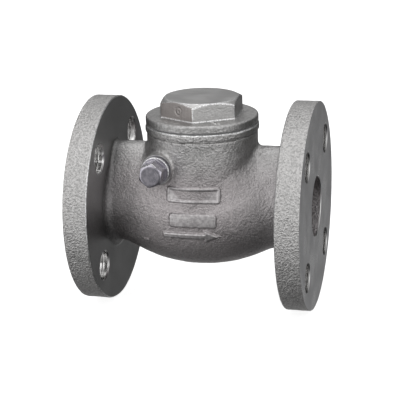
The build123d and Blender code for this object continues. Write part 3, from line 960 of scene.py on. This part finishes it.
open_edges = sum(not e.is_manifold for e in form.edges)
volume = form.calc_volume(signed=True)
if volume < 0:
    bmesh.ops.reverse_faces(form, faces=form.faces)
form.to_mesh(core)
form.free()
print(f"core: {len(core.polygons)} faces, {abs(volume) * 1e6:.1f} ml, {open_edges} open edges")
casting = solid("casting", casting, core, "DIFFERENCE")
print("casting with its chamber:", len(casting.polygons), "faces")

# %% [markdown]
# ## Cap
# The cap is a casting too: a round flange with a hexagon for a big spanner, screwed into the neck
# by its skirt. Its flats were ground, so they are flat but their edges are soft, and the metal
# flows into the flange at the foot. That is the same kind of shape as the body, so it is made the
# same way, with smaller squares. One flat carries the ring that a test punch left, and the flange
# has a small foundry flaw in front of the hexagon.

# %% Cap
cap_r, cap_low_z, cap_plate, hex_reach, hex_turn, hex_top_z = 37.5, 56.0, 4.9, 25.0, 2.2, 72.8
hex_flat_r, hex_slope, skirt_r, skirt_z = 24.25, math.radians(28), 28.95, 44.5
cap_hollow_r, cap_roof_z, ring_side, ring_z = 23.0, 58.5, 1.9, 67.2
punched = math.radians(hex_turn + 240)
flaws = ((13.5, -26.6, 1.9), (17.4, -27.0, 1.1), (18.4, -29.2, 0.9), (15.6, -28.6, 1.0))


def cap_form(points):
    x, y, z = points.T
    u = x - neck_x
    out = np.hypot(u, y)
    plate = np.maximum(trim(out - cap_r, z - cap_low_z - cap_plate, 1.3), cap_low_z - z)
    corners = (out - hex_flat_r) * math.sin(hex_slope) + (z - hex_top_z) * math.cos(hex_slope)
    head = trim(trim(hexagon(u, y, hex_reach, hex_turn, 0.6), corners, 0.4), z - hex_top_z, 0.3)
    cap = join(plate, np.maximum(head, cap_low_z + 1 - z), 0.8)
    aside = y * math.cos(punched) - u * math.sin(punched)
    ahead = u * math.cos(punched) + y * math.sin(punched)
    ring = np.hypot(aside - ring_side, z - ring_z)
    dent = 0.3 * np.exp(-(((ring - 2.5) / 0.4) ** 2)) + 0.4 * np.exp(-((ring / 0.55) ** 2))
    cap = cap + np.where(ahead > 20, dent, 0)
    for flaw_u, flaw_y, length in flaws:
        lump = np.exp(-(((u - flaw_u) / length) ** 2) - ((y - flaw_y) / 0.75) ** 2)
        cap = cap - np.where(z > cap_low_z + 3, 0.8 * lump, 0)
    cap = np.minimum(cap, np.maximum(np.maximum(out - skirt_r, skirt_z - z), z - cap_low_z - 1))
    return np.maximum(cap, -np.maximum(out - cap_hollow_r, z - cap_roof_z))


skirt_profile = [(skirt_r, skirt_z), (skirt_r, cap_low_z + 1), (cap_hollow_r, cap_low_z + 1)]
skirt_profile = [(cap_hollow_r, skirt_z), *skirt_profile, (cap_hollow_r, skirt_z)]
plate_profile = [(cap_r, cap_low_z), (cap_r, cap_low_z + cap_plate)]
head_profile = [(hex_reach + 1, cap_low_z + 1), (hex_reach + 1, hex_top_z)]
blocks = [
    turned("plate_block", plate_profile, neck_foot, upwards, 128),
    turned("head_block", head_profile, neck_foot, upwards, 96),
    turned("skirt_block", skirt_profile, neck_foot, upwards, 96),
]
cap_mesh = sculpt("cap", blocks, cap_form, voxel=0.52)

# %% [markdown]
# ## Plug
# The small plug closes the bore that the hinge pin was pushed in through. It is turned from bar:
# a thread, a round collar and a hexagon with turned corners. It looks along minus Y.

# %% Plug
plug_end, plug_foot, plug_top, plug_thread_r = 28.5, 38.5, 51.9, 5.95
plug_collar_r, plug_collar_thick, plug_reach, plug_turn, plug_flat_r = 9.5, 2.4, 7.25, -8.0, 6.5


def plug_form(points):
    x, y, z = points.T
    u, v, w = x - pin_x, z - pin_z, -y
    out = np.hypot(u, v)
    collar = np.maximum(trim(out - plug_collar_r, w - plug_foot - plug_collar_thick, 0.7), plug_foot - w)
    corners = (out - plug_flat_r) * math.sin(hex_slope) + (w - plug_top) * math.cos(hex_slope)
    head = trim(trim(hexagon(u, v, plug_reach, plug_turn, 0.4), corners, 0.3), w - plug_top, 0.25)
    plug = join(collar, np.maximum(head, plug_foot - w), 0.4)
    return np.minimum(plug, np.maximum(np.maximum(out - plug_thread_r, plug_end - w), w - plug_foot - 1))


blocks = [
    turned(name + "_block", [(radius, low), (radius, high)], pin_middle, forwards, count)
    for name, radius, low, high, count in (
        ("thread", plug_thread_r, plug_end, plug_foot + 1, 48),
        ("collar", plug_collar_r, plug_foot, plug_foot + plug_collar_thick, 64),
        ("head", plug_reach, plug_foot + 1, plug_top, 48),
    )
]
plug_mesh = sculpt("pin_plug", blocks, plug_form, voxel=0.32)

# %% [markdown]
# ## Putting the pieces in place
# A face of the casting takes its finish from where it lies: on a sealing face, in a bore, in the
# chamber or on the outside. Every new piece then replaces its plain one from the construction
# model and rides on the same body. Pieces whose plain shape is already right only get a finish.

# %% Pieces
def piece(name, mesh, node, finishes, planes=None):
    """Puts a finished mesh in the place of a node of the construction model.

    Planes are flat-shaded faces. A mesh that has them also has sharp borders between finishes.
    """
    while len(mesh.materials) < len(finishes):
        mesh.materials.append(None)
    for index, material in enumerate(finishes):
        mesh.materials[index] = material
    mesh.shade_smooth()
    mesh.set_sharp_from_angle(angle=math.radians(35))
    if planes is not None:
        mesh.polygons.foreach_set("use_smooth", ~planes)
        form = bmesh.new()
        form.from_mesh(mesh)
        for edge in form.edges:
            if len({face.material_index for face in edge.link_faces}) > 1:
                edge.smooth = False
        form.to_mesh(mesh)
        form.free()
    thing = as_object(name, mesh)
    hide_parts(node)
    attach(thing, frame["nodes"][node]["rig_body"])
    return thing


def faces_of(mesh):
    """The middles of a mesh's faces in millimetres, and where the faces look."""
    middles, looks = np.empty(len(mesh.polygons) * 3), np.empty(len(mesh.polygons) * 3)
    mesh.polygons.foreach_get("center", middles)
    mesh.polygons.foreach_get("normal", looks)
    return middles.reshape(-1, 3) * 1000, looks.reshape(-1, 3)


def facets(looks, across, other, along, turn):
    """Whether faces belong to a flat of a hexagon, and to its top or its turned corners."""
    turns = [math.radians(turn + step) for step in range(0, 360, 60)]
    out = [math.cos(angle) * np.array(across) + math.sin(angle) * np.array(other) for angle in turns]
    up_share = looks @ np.array(along)
    on_top = (up_share > 0.985) | (np.abs(up_share - math.cos(hex_slope)) < 0.03)
    return np.max([looks @ way for way in out], axis=0) > 0.985, on_top


body_finishes = [
    cast_steel, faced_steel, bored_steel, mouth_steel, inner_cast,
    boss_steel, back_steel, worn_edge_highlight_steel, mark_cast,
]
cast, faced, bored, mouth, inside, boss_face, flange_back, worn_edge_highlight, raised = range(len(body_finishes))
middles, looks = faces_of(casting)
x, y, z = middles.T
off_pipe, off_neck, lengthwise = np.hypot(y, z), np.hypot(x - neck_x, y), np.abs(looks[:, 0])
hole_at = bolt_circle_r * math.sqrt(0.5)
off_hole = np.hypot(np.abs(y) - hole_at, np.abs(z) - hole_at)
from_face = np.minimum(x, face_to_face - x)
kind = np.full(len(x), cast)
kind[(skin(middles) < -2.6) & (x > 30) & (x < 117)] = inside
kind[(off_pipe < bore_r + 0.9) & (from_face < 0.7)] = bored
kind[(off_hole < bolt_hole_r + 0.6) & (from_face < flange_thick)] = bored
near_marks = (np.abs(x - neck_x) < 21) & (z < 21) | (np.abs(x - fleck_x) < 3) & (z < -17)
kind[(skin(middles) > 0.42) & (y < -25) & (z > -20.5) & near_marks] = raised
near_back = np.abs(from_face - flange_thick) < 1.2
kind[near_back & (lengthwise > 0.97) & (kind == cast)] = flange_back
# Rubbed edges take the bright edge finish, which is also a painted highlight.
kind[near_back & (off_pipe > rim_r - 1.2) & (lengthwise > 0.35) & (lengthwise < 0.97)] = worn_edge_highlight
lip = (off_neck > 36.5) & (off_neck < 40) & (z > 54.0) & (z < neck_top_z - 0.02)
kind[lip & (looks[:, 2] > 0.3)] = worn_edge_highlight
kind[from_face < 0.02] = faced
kind[(z > neck_top_z - 0.02) & (off_neck < 40)] = mouth
kind[(off_neck < 29.1) & (z > 42)] = mouth
kind[(y < -boss_front_y + 0.02) & (np.hypot(x - pin_x, z - pin_z) < 11)] = boss_face
casting.polygons.foreach_set("material_index", kind)
straight = np.abs(looks) > 0.9999
planes = straight[:, 0] | straight[:, 2] & (kind == mouth) | straight[:, 1] & (kind == boss_face)
body_skin = piece("body_casting", casting, "body", body_finishes, planes)

middles, looks = faces_of(cap_mesh)
x, y, z = middles.T
cap_finishes = [cap_steel, tinted_steel, worn_edge_highlight_steel, cap_cast]
ground, tinted, worn_edge_highlight, cast = range(len(cap_finishes))
flats, tops = facets(looks, along_pipe, (0, 1, 0), upwards, hex_turn)
corner_r, plate_top = hex_reach / math.cos(math.radians(30)), cap_low_z + cap_plate
on_head = (np.hypot(x - neck_x, y) < corner_r) & (z > plate_top + 0.03)
# The hexagon's rounded corners take the bright edge finish, rubbed bright and painted as a highlight.
kind = np.where(on_head, np.where(~flats & ~tops, worn_edge_highlight, ground), cast)
ahead = (x - neck_x) * math.cos(punched) + y * math.sin(punched)
aside = y * math.cos(punched) - (x - neck_x) * math.sin(punched)
on_flat = (ahead > hex_reach - 0.55) & (np.abs(aside) < 13.7) & (z > plate_top + 0.6) & (looks[:, 2] < 0.5)
kind[on_head & on_flat] = tinted
cap_mesh.polygons.foreach_set("material_index", kind)
cap_skin = piece("cap_casting", cap_mesh, "cap", cap_finishes)

middles, looks = faces_of(plug_mesh)
flats, tops = facets(looks, along_pipe, upwards, forwards, plug_turn)
u, y, v = (middles - pin_middle).T
lengthwise = np.abs(looks[:, 1])
rounded = ~flats & ~tops & (y < -plug_foot - 0.3) & (lengthwise > 0.2)
# Painted highlight: the rounded corners on the upper left, where the light falls, take the bright edge
# finish, as does the worn outer edge of the collar.
upper_left_highlight = (v > 0.6 * u + 3.5) & (lengthwise < 0.8)
worn = rounded & ((np.hypot(u, v) > plug_collar_r - 0.9) | upper_left_highlight)
plug_mesh.polygons.foreach_set("material_index", worn.astype(int))
plug_skin = piece("turned_plug", plug_mesh, "pin_plug", [plug_steel, worn_edge_highlight_steel])

gasket_r, gasket_hole_r = 37.1, skirt_r + 0.2
disc = turned("gasket_disc", [(gasket_r, neck_top_z), (gasket_r, cap_low_z)], neck_foot, upwards, 180)
hole = [(gasket_hole_r, neck_top_z - 1), (gasket_hole_r, cap_low_z + 1)]
ring = solid("gasket_ring", disc, turned("gasket_hole", hole, neck_foot, upwards, 96), "DIFFERENCE")
points = places(ring)
bearing = np.arctan2(points[:, 1], points[:, 0] - neck_x)
ragged = 1 + 0.004 * np.sin(7 * bearing) + 0.003 * np.sin(29 * bearing + 1)
outer = np.hypot(points[:, 0] - neck_x, points[:, 1]) > 33
points[outer, :2] = (points[outer, :2] - (neck_x, 0)) * ragged[outer, None] + (neck_x, 0)
put_places(ring, points)
piece("graphite_ring", ring, "cap_gasket", [gasket_sheet])
for node, material in {
    "pin_plug_gasket": gasket_sheet, "hinge_pin": bored_steel, "swing_arm": inner_cast,
    "disc": stud_steel, "disc_washer": stud_steel, "disc_nut": stud_steel, "split_pin": stud_steel,
}.items():
    for place in frame["nodes"][node].material_slots:
        place.material = material
for thing in (body_skin, cap_skin, plug_skin):
    triangles = sum(len(p.vertices) - 2 for p in thing.data.polygons)
    print(f"{thing.name}: {triangles} triangles")

# %% [markdown]
# ## Floor and light
# A studio for shiny metal is mostly about what the metal can see. The steel sees rings of soft
# panels: a strong one overhead, strong ones in front to the left and right, and weaker ones behind
# and below. Each is a round glow in the sky, given by its height, its bearing from the front
# towards the right, and its strength. Floor and wall are one plain pale tent that the steel
# doesn't mirror, so the underside of the belly keeps its shade.

# %% Studio
floor_z = cad_box[0][2]
bend = [math.radians(a) for a in range(0, 91, 15)]
sweep = [(5.0 + math.sin(a), 1 - math.cos(a)) for a in bend] + [(6.0, 3.0), (4.5, 5.0), (2.0, 6.0)]
tent_profile = [(radius * 1000, (floor_z + height) * 1000) for radius, height in sweep]
sheet = turned("tent", tent_profile, pipe_axis, upwards, 48)
floor = as_object("tent", sheet)
paper = bpy.data.materials.new("paper")
paper.use_nodes = True
coat = paper.node_tree.nodes["Principled BSDF"]
coat.inputs["Base Color"].default_value = (0.35, 0.35, 0.35, 1)
coat.inputs["Roughness"].default_value = 0.8
coat.inputs["Emission Color"].default_value = (1, 1, 1, 1)
coat.inputs["Emission Strength"].default_value = 0.85
sheet.materials.append(paper)
floor.visible_glossy = False

world = bpy.data.worlds.new("studio")
bpy.context.scene.world = world
world.use_nodes = True
bench = Bench(world.node_tree)
way = bench.node("ShaderNodeTexCoord")
panel_edge = 10.0
panels = {
    90: {0: 1.66},
    62: {144: 0.36, 216: 0.74, 288: 0.34},
    35: {65: 0.60, 110: 0.39, 200: 0.25, 335: 1.28},
    8: {36: 1.28, 72: 0.75, 288: 0.33, 324: 1.08},
    -18: {51: 0.33, 195: 0.52, 303: 0.84},
    -45: {180: 0.26, 300: 0.28},
    -75: {0: 0.11},
}
glow = 0.0
for height, ring in panels.items():
    for bearing, strength in ring.items():
        turn, lift = math.radians(bearing), math.radians(height)
        towards = (math.sin(turn) * math.cos(lift), -math.cos(turn) * math.cos(lift), math.sin(lift))
        facing = bench.node(
            "ShaderNodeVectorMath", {"operation": "DOT_PRODUCT"}, {0: way, 1: towards}, output=1,
        )
        beam = (facing - 1.0) * panel_edge
        glow = beam.math("EXPONENT", beam) * strength + glow
air = bench.node("ShaderNodeBackground", {}, {"Strength": glow, "Color": (1, 1, 1, 1)})
bench.node("ShaderNodeOutputWorld", {}, {"Surface": air})
bpy.context.scene.view_settings.view_transform = "Standard"
print("studio ready, floor at", round(floor_z * 1000, 1), "mm")
